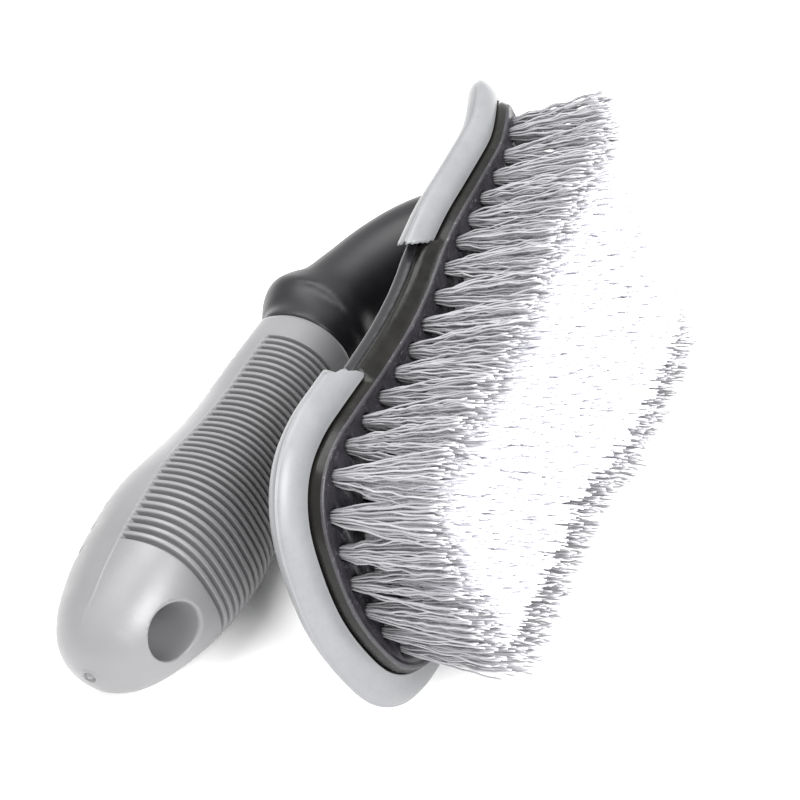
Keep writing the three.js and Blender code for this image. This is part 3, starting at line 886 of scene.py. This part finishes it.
def tuft_strands(centre, out, per_tuft, splay, tip_reach, rng):
    """Roots, directions and tip runs of one tuft's filaments."""
    x, y = centre
    tilt = math.atan(float(slope(x))) / 4
    axis = np.array([math.sin(tilt), 0, -math.cos(tilt)])
    k = np.arange(per_tuft)
    radius = TUFT_ROOT * np.sqrt((k + 0.5) / per_tuft)
    angle = k * GOLDEN_ANGLE + rng.uniform(0, 6.28)
    flat = np.column_stack([radius * np.cos(angle), radius * np.sin(angle)])
    flat += rng.normal(0, TUFT_ROOT_SCATTER, flat.shape)
    rise = float(lift(x))
    roots = np.column_stack([x + flat[:, 0], y + flat[:, 1], np.full(per_tuft, rise + TUFT_SUNK)])
    grow = tip_reach / TUFT_ROOT - 1
    tips = flat * grow + rng.normal(0, TUFT_SCATTER, flat.shape)
    if splay:
        out = np.asarray(out, float)
        outward = tips @ out
        most = TUFT_OUT_MOST - TUFT_TOE_PULL * np.clip(out[0], 0, 1)
        tips += np.outer(np.minimum(outward, most) - outward + splay, out)
    reach = np.column_stack([tips, np.zeros(per_tuft)])
    lengths = TUFT_LONG - TUFT_TRIM * rise + TUFT_SUNK + rng.normal(0, TUFT_LONG_SCATTER, per_tuft)
    return roots, np.tile(axis, (per_tuft, 1)), lengths, reach


def make_strands(name, tufts, per_tuft, splay, tip_reach, segments, seed):
    rng = np.random.default_rng(seed)
    parts = [tuft_strands(c, n, per_tuft, splay, tip_reach, rng) for c, n in tufts]
    roots, axes, lengths, reach = (np.concatenate(v) for v in zip(*parts))
    tuft_of = np.repeat(np.arange(len(tufts)), per_tuft)
    points, tips = strands(roots, axes, lengths, reach, tuft_of, rng, segments, STRAND_SIDES)
    return strand_mesh(name, points, tips, rng)


# ---------------------------------------------------------------- the brush
def build_brush():
    black, block = black_material(), block_material()
    rubber, grip = bumper_material(), grip_material()
    grey = strand_material("bristle_grey_nylon", (0.23, 0.228, 0.24), (0.325, 0.322, 0.338),
                           (0.5, 0.495, 0.515), 0.4)
    white = strand_material("bristle_white_nylon", (0.93, 0.93, 0.96), (0.9, 0.895, 0.94),
                            (0.8, 0.795, 0.85), 0.5)
    settle(make_body(), "moulded_black", ["body"], black)
    settle(make_block(block, painted_shade_wall_material()), "bristle_block_black", ["bristle_block"])
    settle(make_grip(), "grip_rubber_grey", ["grip"], grip)
    for which in ("front", "rear"):
        settle(make_bumper(which), "bumper_rubber_grey", ["bumper_" + which], rubber)
    grey_nodes = sorted(n for n in frame["nodes"] if n.startswith("grey_tuft_"))
    per_grey = GREY_STRANDS
    per_white = WHITE_STRANDS
    for i in range(GREY_PIECES):
        part = slice(i * GREY_PER_PIECE, (i + 1) * GREY_PER_PIECE)
        piece = make_strands(f"grey_bristles_{i + 1}", GREY[part], per_grey, TUFT_SPLAY, TUFT_REACH,
                             GREY_STEPS, SEED + 10 + i)
        settle(piece, "bristle_grey", grey_nodes[part], grey)
    for i, row in enumerate(WHITE):
        tufts = [(centre, (0, 0)) for centre in row]
        piece = make_strands(f"white_bristles_{i + 1}", tufts, per_white, 0, FIELD_REACH,
                             WHITE_STEPS, SEED + 20 + i)
        settle(piece, "bristle_white", [f"white_row_{i + 1}"], white)


# ---------------------------------------------------------------- studio
def make_floor():
    bm = bmesh.new()
    bmesh.ops.create_circle(bm, cap_ends=True, segments=FLOOR_SIDES, radius=FLOOR_RADIUS)
    mesh = bpy.data.meshes.new("floor")
    bm.to_mesh(mesh)
    bm.free()
    floor = bpy.data.objects.new("floor", mesh)
    bpy.context.scene.collection.objects.link(floor)
    mesh.materials.append(floor_material())


def soft_light(name, at, size, power):
    light = bpy.data.lights.new(name, "AREA")
    light.shape, light.size, light.energy = "DISK", size, power
    lamp = bpy.data.objects.new(name, light)
    lamp.location = at
    lamp.rotation_mode = "QUATERNION"
    lamp.rotation_quaternion = (Vector(LAMP_TARGET) - Vector(at)).to_track_quat("-Z", "Y")
    bpy.context.scene.collection.objects.link(lamp)


def make_world():
    world = bpy.data.worlds.new("studio")
    world.use_nodes = True
    back = world.node_tree.nodes["Background"]
    back.inputs["Color"].default_value = (1, 1, 1, 1)
    back.inputs["Strength"].default_value = WORLD_STRENGTH
    bpy.context.scene.world = world


def make_camera():
    forward = (TURN @ Vector(CAMERA_FORWARD)).normalized()
    right = (TURN @ Vector(CAMERA_RIGHT)).normalized()
    up = right.cross(forward).normalized()
    right = forward.cross(up)
    data = bpy.data.cameras.new("camera")
    data.lens, data.sensor_width = CAMERA_LENS, 36
    data.clip_start = 0.01
    camera = bpy.data.objects.new("camera", data)
    turn = Matrix((right, up, -forward)).transposed().to_4x4()
    camera.matrix_world = Matrix.Translation(to_row(CAMERA_AT)) @ turn
    bpy.context.scene.collection.objects.link(camera)
    bpy.context.scene.camera = camera


build_brush()
make_floor()
make_world()
for lamp in LAMPS:
    soft_light(*lamp)
make_camera()
bpy.context.scene.view_settings.view_transform = "Standard"
